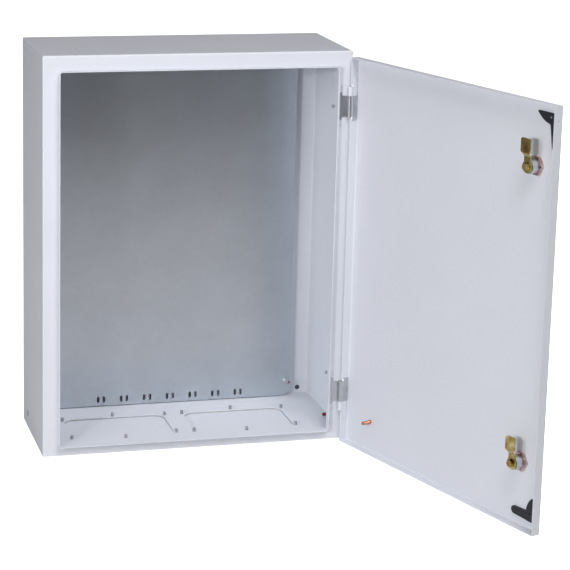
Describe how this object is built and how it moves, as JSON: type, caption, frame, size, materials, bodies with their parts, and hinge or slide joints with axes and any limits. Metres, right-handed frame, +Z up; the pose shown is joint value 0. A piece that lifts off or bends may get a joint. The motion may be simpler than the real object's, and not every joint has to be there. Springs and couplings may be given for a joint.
{
  "type": "steel wall enclosure",
  "caption": "Sheet-steel wall enclosure with a side-hinged door, quarter-turn cam locks, a galvanised mounting plate and screwed cable gland plates in its floor.",
  "frame": {"origin": "centre of the four wall-fixing holes, on the outer face of the back panel", "axes": "+X to the right as seen from the front, +Y from the front to the wall, +Z up"},
  "size_m": [0.6647, 0.6788, 0.653],
  "materials": {
    "painted_steel": "fine-textured light grey powder coat",
    "galvanised_steel": "galvanised sheet",
    "zinc_plate": "bright zinc plating",
    "passivated_steel": "yellow-passivated zinc plating",
    "nut_brass": "machined, slightly pink",
    "copper_plate": "copper-plated weld stud",
    "red_lacquer": "dark red lacquer",
    "gasket_foam": "closed-cell foam",
    "black_rubber": "matt black",
    "grey_plastic": "moulded"
  },
  "bodies": {
    "cabinet": {"body_shell": "painted_steel", "front_frame": "painted_steel", "back_panel": "painted_steel", "floor_panel": "painted_steel", "mounting_plate": "galvanised_steel", "plate_studs": "zinc_plate", "plate_washers": "zinc_plate", "plate_nuts": "zinc_plate", "left_gland_plate": "painted_steel", "right_gland_plate": "painted_steel", "left_gland_gasket": "gasket_foam", "right_gland_gasket": "gasket_foam", "gland_screws": "zinc_plate", "cabinet_earth_stud": "red_lacquer", "wall_rivets": "zinc_plate", "side_plug": "grey_plastic", "upper_hinge_body_leaf": "zinc_plate", "lower_hinge_body_leaf": "zinc_plate", "upper_hinge_pin": "zinc_plate", "lower_hinge_pin": "zinc_plate"},
    "door": {"door_panel": "painted_steel", "upper_hinge_door_leaf": "painted_steel", "lower_hinge_door_leaf": "painted_steel", "upper_corner_pad": "black_rubber", "lower_corner_pad": "black_rubber", "door_earth_stud": "copper_plate", "upper_lock_seal": "black_rubber", "lower_lock_seal": "black_rubber", "upper_lock_body": "zinc_plate", "lower_lock_body": "zinc_plate", "upper_lock_nut": "nut_brass", "lower_lock_nut": "nut_brass"},
    "upper_lock": {"upper_lock_rotor": "zinc_plate", "upper_cam": "passivated_steel", "upper_cam_screw": "zinc_plate"},
    "lower_lock": {"lower_lock_rotor": "zinc_plate", "lower_cam": "passivated_steel", "lower_cam_screw": "zinc_plate"}
  },
  "joints": [
    {"name": "door_hinge", "type": "hinge", "parent": "cabinet", "child": "door", "pos_m": [0.246, -0.209, 0], "axis": [0, 0, 1], "range_deg": [-108, 12]},
    {"name": "upper_lock_turn", "type": "hinge", "parent": "door", "child": "upper_lock", "pos_m": [0.38351, -0.63222, 0.22], "axis": [0.9511, 0.309, 0], "range_deg": [0, 90]},
    {"name": "lower_lock_turn", "type": "hinge", "parent": "door", "child": "lower_lock", "pos_m": [0.38351, -0.63222, -0.228], "axis": [0.9511, 0.309, 0], "range_deg": [0, 90]}
  ]
}
